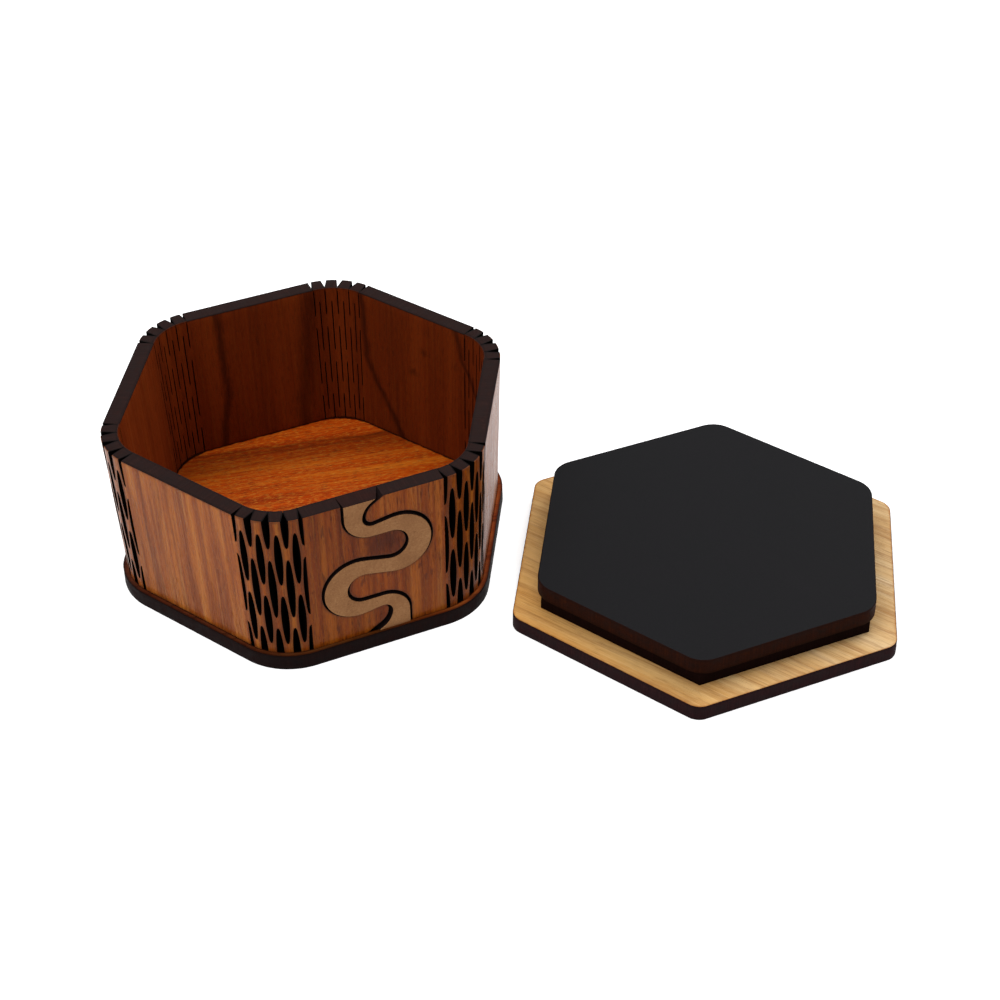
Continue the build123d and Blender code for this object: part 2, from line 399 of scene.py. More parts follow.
def living_hinge(name, step, finishes):
    """Corner of the wall cut to a lattice. Each bar between two slot columns is a flat strip, and they stand
    side by side round the bend's axis. Neighbours meet in the column's middle where no slot is, so they grow
    together there when doubles are merged."""
    height, gaps = hinge_pattern()
    level = height[:, None, None]
    bars = np.arange(hinge_columns - 1)[None, :, None]
    across = np.ones_like(bar_shares)
    down = np.ones_like(bar_depths)
    share = np.concatenate([bar_shares, down, bar_shares[::-1], -down])
    depth = np.concatenate([0 * across, bar_depths, across, bar_depths[::-1]])
    out, left, right = bar_sides(height, gaps, depth)
    side = left + (right - left) * (share + 1) / 2
    turn = (step - 1.5) * corner_turn + strip_turn * (bars + 0.5)
    axis = (step - 1) * corner_turn
    x = bend_distance * cos(axis) + out * np.cos(turn) - side * np.sin(turn)
    y = bend_distance * sin(axis) + out * np.sin(turn) + side * np.cos(turn)
    points = spread(x, y, foot + level)
    faces, finish_of_face = bar_faces(gaps)

    # How far along the strip each point was before bending, and how far from a slot it is
    run = step * strip_pitch + panel_width / 2 + (bars + (share + 1) / 2) * strip_width
    place = spread(run, level, sheet * (1 - depth))
    tip = gaps[:, 2].T[..., None]
    beside = np.where(tip[:, 1:] > 0, right - side, far_from_edge)
    edge = np.minimum(beside, np.where(tip[:, :-1] > 0, side - left, far_from_edge))
    rim = np.minimum(level, wall_height - level)
    edge = np.where(depth == 0, np.minimum(edge, rim), rim)
    notes = {"strip": place.reshape(-1, 3), "edge": edge.ravel()}
    piece(name + "_lattice", points, faces, finishes, finish_of_face, notes, "box", name)


def seam_path(start, heading, legs):
    """Path of runs and bends in the plane, as complex numbers. A run goes straight on; a bend turns about a
    centre one radius to the side. Each leg is (run length or bend radius, turn, steps)."""
    parts = []
    for length, turn, steps in legs:
        share = np.linspace(0, 1, steps + 1)[1:]
        if turn:
            centre = start + length * np.exp(1j * (heading + np.sign(turn) * pi / 2))
            part = centre + (start - centre) * np.exp(1j * turn * share)
        else:
            part = start + length * share * np.exp(1j * heading)
        parts.append(part)
        start = part[-1]
        heading += turn
    return np.concatenate(parts), heading


def seam_edge(gap, tip_bend, last_bend, top, bottom):
    """Left edge of the key from the foot to the rim, about the middle of the seam, moved off the key by gap:
    the middle run, a large bend, a run and a smaller bend each way from the middle. Upward it then rises
    straight to the rim, and downward a wider bend leads to a last run down to the foot."""
    middle = (key_stroke / 2 + gap) * np.exp(1j * (pi / 2 - key_slope))
    upward, heading = seam_path(middle, -key_slope, [
        (upper_run, 0, 8),
        (loop_radius - bend_stroke - gap, pi + key_slope, 30),
        (shoulder_run, 0, 8),
        (tip_radius + key_stroke + gap, -pi / 2, 16),
    ])
    rise, heading = seam_path(upward[-1], heading, [(top - upward[-1].imag, 0, 10)])
    downward, heading = seam_path(middle, pi - key_slope, [
        (loop_run, 0, 8),
        (loop_radius + gap, pi + key_slope + lower_slope, 30),
        (lower_run, 0, 8),
        (tip_bend - gap, -pi / 2 - lower_slope, 14),
        (last_bend - gap, tail_slope - pi / 2, 12),
    ])
    tail_run = (bottom - downward[-1].imag) / sin(heading)
    tail, heading = seam_path(downward[-1], heading, [(tail_run, 0, 6)])
    return np.concatenate([tail[::-1], downward[::-1], [middle], upward, rise])


def both_edges(gap, tip_bend, last_bend, top, bottom):
    """The key's left edge and its right one, which is the left one turned half round."""
    left = seam_edge(gap, tip_bend, last_bend, top, bottom)
    right = -seam_edge(gap, tip_bend, last_bend, -bottom, -top)[::-1]
    return left, right


def on_front(flat, depth):
    """Points of the front panel, from places about the middle of the seam and depths in the board."""
    height = flat.imag + wall_height / 2 + seam_rise
    out = inside_apothem + depth + rim_spread * height / wall_height
    return spread(flat.real, -out, foot + height)


def seam_key(finishes):
    """S-shaped key: a rounded section carried along the seam between the key's two edges. Inside it fills its
    slot; outside it is narrower and has settled down."""
    outer = both_edges(0, tip_radius, tail_bend, seam_top + key_settle, seam_bottom + key_settle)
    outer = np.array(outer) - 1j * key_settle
    fill = key_clearance - key_slack
    inner = np.array(both_edges(fill, slot_tip_radius, slot_tail_bend, seam_top, seam_bottom))
    face = sheet + key_proud
    # Each point of the section: its side, inset from it, and depth
    ring = np.array([
        (0, ease, face), (0, 3 * ease, face), (0, 7 * ease, face), (1, 7 * ease, face), (1, 3 * ease, face),
        (1, ease, face), (1, round_inset, face - round_inset), (1, 0, face - ease),
        (1, 0, sheet / 2), (1, 0, 0), (0, 0, 0), (0, 0, sheet / 2), (0, 0, face - ease),
        (0, round_inset, face - round_inset),
    ])
    side, inset, depth = ring.T[:, None, :]
    inward = 1 - depth / face
    left = outer[0][:, None] + (inner[0] - outer[0])[:, None] * inward
    right = outer[1][:, None] + (inner[1] - outer[1])[:, None] * inward
    across = (right - left) / np.abs(right - left)
    flat = np.where(side == 0, left + across * inset, right - across * inset)
    points = on_front(flat, depth)
    rows, count = flat.shape
    faces = tube_faces(rows, count)
    kind = np.array([0, 0, 0, 0, 0, 0, 0, 2, 2, 0, 2, 2, 0, 0])
    finish_of_face = np.append(np.tile(kind, rows - 1), [1, 1])
    height = flat.imag + wall_height / 2 + seam_rise
    strip = spread(flat.real, height, depth).reshape(-1, 3)
    edge = np.broadcast_to(inset, flat.shape).ravel()
    notes = {"strip": strip, "edge": edge}
    piece("seam_key_board", points, faces, finishes, finish_of_face, notes, "box", "seam_key")


def seam_half(name, half, run, finishes):
    """One end of the strip at the seam. A section goes from the outside over the cut edge to the inside and
    is carried along the seam; the rest of each face, the rim, the foot and the side are one polygon each."""
    section = np.array([
        (6 * ease, sheet), (3 * ease, sheet), (ease, sheet), (round_inset, sheet - round_inset),
        (0, sheet - ease), (0, sheet / 2), (0, ease), (round_inset, round_inset), (ease, 0), (6 * ease, 0),
    ])
    flat = np.stack([
        both_edges(key_clearance + inset, slot_tip_radius, slot_tail_bend, seam_top, seam_bottom)[half]
        for inset in section[:, 0]
    ], axis=1)
    depth = section[None, :, 1]
    points = on_front(flat, depth).reshape(-1, 3)
    border = (2 * half - 1) * panel_width / 2
    corners = np.array([border + 1j * seam_bottom, border + 1j * seam_top])
    points = np.concatenate([points, on_front(corners, sheet), on_front(corners, 0.0)])
    rows, count = flat.shape
    low_out, high_out, low_in, high_in = range(rows * count, rows * count + 4)
    here = np.arange(rows * count).reshape(rows, count)
    quads = np.stack([here[:-1, :-1], here[:-1, 1:], here[1:, 1:], here[1:, :-1]], axis=-1).reshape(-1, 4)
    faces = quads.tolist() + [
        [high_out, low_out] + here[:, 0].tolist(),
        [high_in, low_in] + here[:, -1].tolist(),
        [high_in, high_out] + here[-1].tolist(),
        [low_in, low_out] + here[0].tolist(),
        [low_out, high_out, high_in, low_in],
    ]
    kind = np.array([0, 0, 2, 2, 3, 3, 2, 2, 1])
    finish_of_face = np.append(np.tile(kind, rows - 1), [0, 1, 2, 2, 3])
    height = points[:, 2] - foot
    depths = np.append(np.broadcast_to(depth, flat.shape).ravel(), [sheet, sheet, 0, 0])
    strip = np.stack([points[:, 0] + run, height, depths], axis=1)
    edge = np.append(np.broadcast_to(section[:, 0], flat.shape).ravel(), np.full(4, far_from_edge))
    notes = {"strip": strip, "edge": edge}
    piece(name + "_board", points, faces, finishes, finish_of_face, notes, "box", name)


# Finishes


def tone(code):
    """Linear colour of a hex code, with an alpha of 1."""
    shares = [int(code[n : n + 2], 16) / 255 for n in (1, 3, 5)]
    linear = [s / 12.92 if s <= 0.04045 else ((s + 0.055) / 1.055) ** 2.4 for s in shares]
    return (*linear, 1)


class Finish:
    """A procedural material and short words for growing its nodes."""

    def __init__(self, name, specular):
        self.material = bpy.data.materials.new(name)
        self.material.use_nodes = True
        self.tree = self.material.node_tree
        self.shader = self.tree.nodes["Principled BSDF"]
        self.shader.inputs["Specular IOR Level"].default_value = specular

    def grow(self, kind, wires, **settings):
        """New node with its settings, and its inputs joined to sockets or set to values."""
        made = self.tree.nodes.new("ShaderNode" + kind)
        for name, value in settings.items():
            setattr(made, name, value)
        for socket, value in wires.items():
            self.wire(made.inputs[socket], value)
        return made

    def wire(self, socket, value):
        """Joins an input to another node's output, or sets its value."""
        if isinstance(value, bpy.types.NodeSocket):
            self.tree.links.new(value, socket)
        else:
            socket.default_value = value

    def note(self, name):
        """Vector that the mesh carries under a name."""
        return self.grow("Attribute", {}, attribute_name=name).outputs["Vector"]

    def edge(self):
        """Distance from the nearest cut edge."""
        return self.grow("Attribute", {}, attribute_name="edge").outputs["Fac"]

    def object_place(self, centre=(0, 0, 0), turn=0):
        """Object coordinates from a centre, with Y along a grain turned from +Y by an angle."""
        coordinates = self.grow("TexCoord", {}).outputs["Object"]
        wires = {"Vector": coordinates, "Location": centre, "Rotation": (0, 0, turn)}
        return self.grow("Mapping", wires, vector_type="TEXTURE").outputs["Vector"]

    def split(self, place):
        """A place's coordinates, by the names of their axes."""
        return self.grow("SeparateXYZ", {0: place}).outputs

    def noise(self, place, sizes, detail=2.0, rough=0.5, shift=0.0):
        """Noise whose blots are about the given sizes across, along and in depth."""
        scale = [1 / size for size in sizes]
        fitted = self.grow("Mapping", {"Vector": place, "Location": (shift, shift, shift), "Scale": scale})
        wires = {"Vector": fitted.outputs["Vector"], "Scale": 1.0, "Detail": detail, "Roughness": rough}
        return self.grow("TexNoise", wires).outputs["Fac"]

    def ramp(self, value, low, high, start=0.0, end=1.0):
        """Smooth step of a value from low to high."""
        wires = {"Value": value, "From Min": low, "From Max": high, "To Min": start, "To Max": end}
        return self.grow("MapRange", wires, interpolation_type="SMOOTHSTEP").outputs["Result"]

    def math(self, operation, first, second=0.0, third=0.0):
        """One sum, by the name of its operation."""
        return self.grow("Math", {0: first, 1: second, 2: third}, operation=operation).outputs[0]

    def roughen(self, value, place, sizes, reach, detail=2.0):
        """A value moved by noise, by no more than half the reach either way."""
        ragged = self.noise(place, sizes, detail=detail)
        return self.math("MULTIPLY_ADD", self.math("SUBTRACT", ragged, 0.5), reach, value)

    def mix(self, factor, first, second, how="MIX"):
        """The first colour going over to the second by a factor, or blended with it in another way."""
        wires = {0: factor, 6: first, 7: second}
        return self.grow("Mix", wires, data_type="RGBA", blend_type=how).outputs[2]

    def tones(self, value, stops):
        """Colour ramp over a value; stops are (place, hex code)."""
        made = self.grow("ValToRGB", {"Fac": value})
        elements = made.color_ramp.elements
        while len(elements) < len(stops):
            elements.new(0.5)
        for element, (at, code) in zip(elements, stops):
            element.position = at
            element.color = tone(code)
        return made.outputs["Color"]

    def vein(self, place, across, height, lean_below, lean_above, width, strength):
        """Share of a single dark vein: full on its line, which passes a knee on the strip and leans one way
        below it and another above, and falling to nothing at its width; noise makes it wander."""
        parts = self.split(place)
        rise = self.math("SUBTRACT", parts["Y"], height)
        line = self.math("MULTIPLY_ADD", self.math("MINIMUM", rise, 0.0), lean_below, across)
        line = self.math("MULTIPLY_ADD", self.math("MAXIMUM", rise, 0.0), lean_above, line)
        line = self.roughen(line, place, (40 * mm, 8 * mm, 40 * mm), vein_wander)
        off = self.math("ABSOLUTE", self.math("SUBTRACT", parts["X"], line))
        off = self.roughen(off, place, (0.5 * mm, 3 * mm, 0.5 * mm), width)
        return self.ramp(off, 0.0, width, strength, 0.0)

    def smudge(self, place, across, height, radius, strength):
        """Share of a round dark spot on the strip, ragged by noise."""
        parts = self.split(place)
        flat = self.grow("CombineXYZ", {"X": parts["X"], "Y": parts["Y"]}).outputs[0]
        spot = {0: flat, 1: (across, height, 0)}
        off = self.grow("VectorMath", spot, operation="DISTANCE").outputs["Value"]
        off = self.roughen(off, place, (0.6 * mm, 1.2 * mm, 0.6 * mm), radius)
        return self.ramp(off, 0.0, radius, strength, 0.0)

    def close(self, colour, rough, height, depth):
        """Joins colour, roughness and a bump of a given depth to the shader, and gives the material."""
        bump = self.grow("Bump", {"Height": height, "Distance": depth, "Strength": 1.0})
        self.wire(self.shader.inputs["Base Color"], colour)
        self.wire(self.shader.inputs["Roughness"], rough)
        self.wire(self.shader.inputs["Normal"], bump.outputs["Normal"])
        return self.material


def growth_rings(finish, place, run, pitch, strength):
    """Share of late wood. Across the grain it grows through each ring and drops at the ring's end; noise
    bends the rings."""
    wave = finish.noise(place, (pitch * 1.5, run * 1.5, pitch * 1.5), shift=1.3)
    straight = finish.math("DIVIDE", finish.split(place)["X"], pitch)
    age = finish.math("FRACT", finish.math("MULTIPLY_ADD", wave, 3.0, straight))
    drop = finish.ramp(age, 0.92, 1.0, strength, 0.0)
    return finish.math("MULTIPLY", finish.ramp(age, 0.5, 0.92), drop)


def dark_dashes(finish, place, strength):
    """Share of short dark dashes along the grain. They lie in clusters and thin out away from the seam."""
    strokes = finish.noise(place, (0.5 * mm, 3.4 * mm, 0.5 * mm), shift=2.6)
    clusters = finish.noise(place, (7 * mm, 9 * mm, 7 * mm), detail=1.0, shift=4.9)
    marks = finish.ramp(strokes, 0.54, 0.68, 0.0, strength)
    marks = finish.math("MULTIPLY", marks, finish.ramp(clusters, 0.38, 0.58))
    along = finish.split(finish.note("strip"))["X"]
    from_back = finish.math("ABSOLUTE", finish.math("SUBTRACT", along, back_run))
    by_seam = finish.ramp(from_back, 2.3 * strip_pitch, 2.7 * strip_pitch, 0.15, 1.0)
    return finish.math("MULTIPLY", marks, by_seam)


def veneer(name, place_of, stops, dark, fleck, grain, rough, specular, lines=0.5, dashes=0.0, ticks=0.4,
           glints=0.2, rings=None, veins=(), smudges=(), drift_and_painted_light=None, scorch=None, edge_char_and_shade=None):
    """Sliced veneer. Broad bands along the grain take the tones. Growth rings, finer streaks, short dashes
    and pores darken them, pale flecks lie across, single veins and smudges have their own places, and the
    tone may drift across the piece or change near a cut edge. The drift is the veneer's own tone on some
    pieces and painted light and shade on others; the change near an edge is charring at the edge and
    painted shade at a wall's foot. Roughness and bump follow streaks and pores. The grain gives the widths
    of bands, streaks and pores, and the streaks' length."""
    finish = Finish(name, specular)
    straight = place_of(finish)
    band, streak, pore, run = grain
    sway = finish.roughen(0.0, straight, (22 * mm, 60 * mm, 22 * mm), grain_wander, detail=1.0)
    sway = finish.grow("CombineXYZ", {"X": sway}).outputs[0]
    place = finish.grow("VectorMath", {0: straight, 1: sway}, operation="ADD").outputs[0]
    bands = finish.noise(place, (band, run * 3, band), detail=3.0, rough=0.55, shift=3.7)
    streaks = finish.noise(place, (streak, run, streak), detail=3.0, rough=0.6, shift=8.3)
    pores = finish.noise(place, (pore, run * 0.09, pore), rough=0.6, shift=1.9)
    flecks = finish.noise(place, (streak * 0.35, run * 0.05, streak), rough=0.6, shift=5.1)
    pits = finish.ramp(pores, 0.54, 0.68)

    # Marks in the order in which they are laid on, each with its share and its tone
    marks = []
    if rings:
        marks.append((growth_rings(finish, place, run, *rings), dark))
    marks.append((finish.ramp(streaks, 0.52, 0.7, 0.0, lines), dark))
    marks.append((finish.ramp(streaks, 0.3, 0.48, lines, 0.0), fleck))
    if dashes:
        marks.append((dark_dashes(finish, place, dashes), dark))
    marks.append((finish.math("MULTIPLY", pits, ticks), dark))
    marks.append((finish.ramp(flecks, 0.52, 0.68, 0.0, glints), fleck))
    marks += [(finish.vein(straight, *vein), dark) for vein in veins]
    marks += [(finish.smudge(straight, *smudge), dark) for smudge in smudges]
    colour = finish.tones(bands, stops)
    for share, code in marks:
        colour = finish.mix(share, colour, tone(code))

    # Drift of the tone across the piece: the veneer's own on some pieces, painted light and shade on others
    if drift_and_painted_light:
        drift_of, start, width, steps = drift_and_painted_light
        along = finish.split(drift_of(finish))["X"]
        along = finish.math("DIVIDE", finish.math("SUBTRACT", along, start), width)
        colour = finish.mix(1.0, colour, finish.tones(along, steps), "MULTIPLY")
    if scorch:
        reach, code, strength = scorch
        distance = finish.roughen(finish.edge(), place, [0.9 * mm] * 3, reach, detail=3.0)
        colour = finish.mix(finish.ramp(distance, 0.0, reach, strength, 0.0), colour, tone(code))
    # Tone by distance from the cut edge: charring at the edge, and painted shade at a wall's foot
    if edge_char_and_shade:
        width, steps = edge_char_and_shade
        distance = finish.roughen(finish.edge(), place, [1.6 * mm] * 3, 0.1 * width)
        distance = finish.math("DIVIDE", distance, width)
        colour = finish.mix(1.0, colour, finish.tones(distance, steps), "MULTIPLY")
    roughness = finish.ramp(streaks, 0.3, 0.75, rough - 0.07, rough + 0.1)
    height = finish.math("SUBTRACT", finish.math("MULTIPLY", streaks, 0.5), pits)
    return finish.close(colour, roughness, height, 0.03 * mm)


def scorched(name, note, codes, rough, specular, layers=0.35, slit_shade=0.0):
    """Cut edge of the board, browned by the laser: fine marks across the edge where the beam stepped along,
    cloudy soot, and the two veneers as thin bands beside the core. On the rim, over the slots of the living
    hinges two bars apart, dark lines are painted shade that stands in for the depth of the slits. The tones
    go from dark to light."""
    finish = Finish(name, specular)
    dark, middle_tone, light = codes
    place = finish.note(note)
    marks = finish.noise(place, (0.28 * mm, 6 * mm, 6 * mm), shift=2.2)
    cloud = finish.noise(place, (2.6 * mm, 1.6 * mm, 1.6 * mm), detail=3.0, rough=0.6, shift=6.1)
    grit = finish.noise(place, [0.16 * mm] * 3, shift=4.4)
    blend = finish.math("MULTIPLY_ADD", marks, 0.4, finish.math("MULTIPLY", cloud, 0.6))
    colour = finish.tones(blend, [(0.3, dark), (0.55, middle_tone), (0.75, light)])
    colour = finish.mix(finish.ramp(grit, 0.5, 0.8, 0.0, 0.35), colour, tone(light))
    parts = finish.split(place)
    through = parts["Z"] if note == "strip" else parts["Y"]
    middle = finish.math("ABSOLUTE", finish.math("SUBTRACT", through, sheet / 2))
    veneers = finish.ramp(middle, sheet / 2 - 0.55 * mm, sheet / 2 - 0.35 * mm, 0.0, layers)
    colour = finish.mix(veneers, colour, tone(dark))
    # Painted shade: dark lines on the rim over the slits of the hinges, for their depth
    if slit_shade:
        start = finish.math("SUBTRACT", parts["X"], panel_width / 2)
        on_hinge = finish.math("FLOORED_MODULO", start, strip_pitch)
        off = finish.math("PINGPONG", on_hinge, strip_width)
        crack = finish.ramp(off, 0.05 * mm, 0.2 * mm, slit_shade, 0.0)
        crack = finish.math("MULTIPLY", crack, finish.math("LESS_THAN", on_hinge, hinge_run + 0.2 * mm))
        colour = finish.mix(crack, colour, tone("#050303"))
    roughness = finish.ramp(cloud, 0.3, 0.7, rough - 0.1, rough + 0.1)
    height = finish.math("MULTIPLY_ADD", grit, 0.5, marks)
    return finish.close(colour, roughness, height, 0.03 * mm)


def bare_board(name, stops, speck):
    """Raw fibre board: a fine mottle of light and dark fibres, with scattered brown specks."""
    finish = Finish(name, 0.1)
    place = finish.object_place()
    fibres = finish.noise(place, [0.35 * mm] * 3, detail=4.0, rough=0.7)
    cloud = finish.noise(place, [4 * mm] * 3, shift=2.0)
    blend = finish.math("MULTIPLY_ADD", fibres, 0.65, finish.math("MULTIPLY", cloud, 0.35))
    colour = finish.tones(blend, stops)
    specks = finish.noise(place, [0.5 * mm] * 3, detail=1.0, shift=9.0)
    colour = finish.mix(finish.ramp(specks, 0.66, 0.76, 0.0, 0.5), colour, tone(speck))
    roughness = finish.ramp(fibres, 0.3, 0.7, 0.7, 0.85)
    return finish.close(colour, roughness, fibres, 0.02 * mm)


def black_laminate(name):
    """Matte black face: a fine even tooth, faint cloudy wear and a few pale dust specks."""
    finish = Finish(name, 0.06)
    place = finish.object_place((lid_place.x, lid_place.y, 0), lid_turn)
    tooth = finish.noise(place, [0.22 * mm] * 3)
    cloud = finish.noise(place, [14 * mm] * 3, detail=3.0, shift=3.0)
    dust = finish.noise(place, [1.1 * mm] * 3, detail=0.0, shift=7.0)
    blend = finish.math("MULTIPLY_ADD", tooth, 0.5, finish.math("MULTIPLY", cloud, 0.5))
    colour = finish.tones(blend, [(0.3, "#111113"), (0.7, "#171618")])
    colour = finish.mix(finish.ramp(dust, 0.9, 0.93, 0.0, 0.4), colour, tone("#77767a"))
    roughness = finish.ramp(cloud, 0.3, 0.7, 0.58, 0.63)
    return finish.close(colour, roughness, tooth, 0.012 * mm)


def wall_grain(finish):
    """Place on the wall's strip as it was before bending."""
    return finish.note("strip")


def floor_grain(finish):
    """Place on the base plate, turned with the floor's grain."""
    return finish.object_place(turn=floor_turn)


def across_box(finish):
    """Place on the base plate, with X across the box."""
    return finish.object_place()


def lid_grain(finish):
    """Place on the lid, turned with its grain."""
    return finish.object_place((lid_place.x, lid_place.y, 0), lid_grain_turn)


def across_lid(finish):
    """Place on the lid, with X across it."""
    return finish.object_place((lid_place.x, lid_place.y, 0))


floor_turn = radians(80)
lid_grain_turn = radians(30)
grain_wander = 1.5 * mm
vein_wander = 2.5 * mm

# Veins: place across the grain and height of the knee, lean below and above it, width and strength
inside_veins = [
    (back_run + 6.8 * mm, 13 * mm, -0.17, 0.03, 1.5 * mm, 0.65),
    (back_run - 10.4 * mm, 16 * mm, -0.11, -0.1, 3.0 * mm, 0.5),
    (right_back_run + 11.8 * mm, 17 * mm, 0.53, 0.1, 1.5 * mm, 0.65),
    (right_back_run - 12.7 * mm, 25.7 * mm, 0.7, 0.24, 1.2 * mm, 0.6),
]
floor_veins = [
    (26.2 * mm, 4 * mm, 0.03, 0.06, 0.9 * mm, 0.55),
    (24.3 * mm, -9 * mm, -0.03, 0.05, 0.9 * mm, 0.4),
]

# Smudges: place along the strip, height, radius and strength
inside_smudges = [
    (right_back_run - 0.3 * mm, 17.9 * mm, 1.6 * mm, 0.5),
    (right_back_run - 3.1 * mm, 23.5 * mm, 1.3 * mm, 0.5),
]
outside_smudges = [(whole_run + 2 * mm, 21 * mm, 7 * mm, 0.75)]

# Drift of the tone along the strip, and across the lid and the floor: the veneer's own on the lid, painted
# light and shade inside the wall and on the floor, partly painted shade outside
# Outside: darker and browner on the front panel, partly the veneer's own tone and partly painted shade
outside_tone_and_shade = [
    (0.0, "#ead2ac"), (0.1, "#eadec4"), (0.2, "#f4eee4"), (0.75, "#ffffff"),
    (0.885, "#fffaf0"), (0.95, "#d8c08c"), (1.0, "#d0b17c"),
]
# Inside: painted light, lighter towards the left back panel, where more light falls
inside_painted_light = [(0.0, "#d8d8d8"), (0.36, "#dcdcdc"), (0.48, "#e8e8e8"), (0.62, "#f0f2f2")]
lid_tide = [(0.0, "#ffe8bc"), (0.12, "#fff4d8"), (0.5, "#fffaf0"), (0.85, "#ffffff")]
# Floor: painted light and shade, full from the front to the middle, darker in a band towards the back and
# lighter again at the very back
floor_painted_light = [
    (0.45, "#ffffff"), (0.62, "#e4e2e0"), (0.7, "#d2ccc8"), (0.78, "#d0cac6"),
    (0.85, "#aeaab0"), (0.9, "#b8b0b2"), (0.94, "#f0e8e0"),
]

# Base plate beyond the wall, from its cut edge in to the wall's foot: charred at the cut edge, and painted
# shade where it meets the wall's foot
ledge_char_and_foot_shade = [
    (0.0, "#40302a"), (0.15, "#8c7868"), (0.35, "#d0c4bc"), (0.6, "#ffffff"),
    (0.8, "#fff4ec"), (0.95, "#807068"), (1.0, "#201814"),
]
# Painted light across the ledge: lighter towards the right of the box, darker towards the left
ledge_painted_light = [(0.07, "#9893d0"), (0.5, "#a7b6b8"), (0.93, "#ffe6f1")]
# Painted shade on the floor in a thin line along the inside of the wall's foot
floor_foot_shade = [(0.71, "#3a2c26"), (0.76, "#ffffff")]

cherry_outside = veneer(
    "cherry_outside", wall_grain, dark="#4c1e0f", fleck="#bd8344",
    stops=[(0.34, "#7c3b10"), (0.46, "#924916"), (0.54, "#a1571c"), (0.67, "#b56c2a")],
    grain=(2.4 * mm, 0.55 * mm, 0.14 * mm, 26 * mm), rough=0.3, specular=0.09,
    lines=0.36, dashes=0.6, ticks=0.25, rings=(3.4 * mm, 0.25), smudges=outside_smudges,
    scorch=(0.7 * mm, "#5a2e16", 0.65), drift_and_painted_light=(wall_grain, 0, whole_run, outside_tone_and_shade))
cherry_inside = veneer(
    "cherry_inside", wall_grain, dark="#240a04", fleck="#8c4a1a",
    stops=[(0.3, "#6c290b"), (0.5, "#762d0b"), (0.7, "#843710")],
    grain=(5 * mm, 0.5 * mm, 0.14 * mm, 30 * mm), rough=0.55, specular=0.06,
    lines=0.22, ticks=0.3, veins=inside_veins, smudges=inside_smudges,
    scorch=(0.4 * mm, "#260c04", 0.75), drift_and_painted_light=(wall_grain, 0, whole_run, inside_painted_light))
cherry_floor = veneer(
    "cherry_floor", floor_grain, dark="#682608", fleck="#f4a03a",
    stops=[(0.33, "#b03e08"), (0.44, "#ce4d09"), (0.55, "#da580a"), (0.68, "#f07c1a")],
    grain=(4.0 * mm, 0.45 * mm, 0.16 * mm, 26 * mm), rough=0.45, specular=0.06,
    lines=0.35, ticks=0.7, glints=0.7, veins=floor_veins, edge_char_and_shade=(6 * mm, floor_foot_shade),
    drift_and_painted_light=(floor_grain, -inside_apothem, 2 * inside_apothem, floor_painted_light))
cherry_underside = veneer(
    "cherry_underside", floor_grain, dark="#5e2208", fleck="#d48236",
    stops=[(0.28, "#96390a"), (0.43, "#a2410a"), (0.57, "#ac490b"), (0.75, "#ba5c14")],
    grain=(4.0 * mm, 0.45 * mm, 0.16 * mm, 30 * mm), rough=0.45, specular=0.06,
    lines=0.35, ticks=0.5, glints=0.4)
# Same veneer as the floor, toned darker: partly smoke stain from the laser, partly painted shade
base_ledge = veneer(
    "base_ledge", floor_grain, dark="#301408", fleck="#8a582a",
    stops=[(0.28, "#773615"), (0.43, "#8b4318"), (0.57, "#9c511e"), (0.75, "#b2692b")],
    grain=(4.5 * mm, 1.1 * mm, 0.2 * mm, 40 * mm), rough=0.5, specular=0.05,
    edge_char_and_shade=(1.1 * mm, ledge_char_and_foot_shade),
    drift_and_painted_light=(across_box, -plate_apothem, 2 * plate_apothem, ledge_painted_light))
pale_ash = veneer(
    "pale_ash", lid_grain, dark="#98602e", fleck="#efd6ac",
    stops=[(0.28, "#c99b63"), (0.45, "#d6ad76"), (0.58, "#deba87"), (0.75, "#e8ca9e")],
    grain=(4.0 * mm, 0.3 * mm, 0.12 * mm, 40 * mm), rough=0.5, specular=0.08,
    lines=0.36, ticks=0.35, rings=(4.2 * mm, 0.38), scorch=(0.6 * mm, "#a86426", 0.85),
    drift_and_painted_light=(across_lid, -plate_apothem, 2 * plate_apothem, lid_tide))
burnt_rim = scorched("burnt_rim", "strip", ("#180e0d", "#221412", "#2f1d1a"), 0.6, 0.04,
                     layers=0.6, slit_shade=0.85)
burnt_key = scorched("burnt_key", "strip", ("#1b0d0b", "#25120f", "#311a16"), 0.6, 0.04)
burnt_edge = scorched("burnt_edge", "rim_place", ("#100808", "#180c0b", "#231211"), 0.6, 0.03)
burnt_lid = scorched("burnt_lid", "rim_place", ("#180c0d", "#241214", "#331b1c"), 0.6, 0.03)
burnt_panel = scorched("burnt_panel", "rim_place", ("#150704", "#240d06", "#351709"), 0.6, 0.03)
# Spacer's edge toned darker than the panel's: partly its own darker board, partly painted shade under the
# panel's overhang
spacer_char_and_shade = scorched("spacer_char_and_shade", "rim_place", ("#0b0403", "#130706", "#1c0c09"), 0.7, 0.02)
seam_cut = scorched("seam_cut", "strip", ("#110b0a", "#191010", "#241817"), 0.7, 0.02)
soot = scorched("soot", "strip", ("#050303", "#080605", "#0f0b0a"), 0.8, 0.0)
raw_key = bare_board("raw_key", [(0.3, "#845b3a"), (0.5, "#9a6c46"), (0.7, "#af8157")], "#664429")
black_face = black_laminate("black_face")

wall_finishes = [cherry_outside, cherry_inside, burnt_rim, soot]
seam_finishes = [cherry_outside, cherry_inside, burnt_rim, seam_cut]

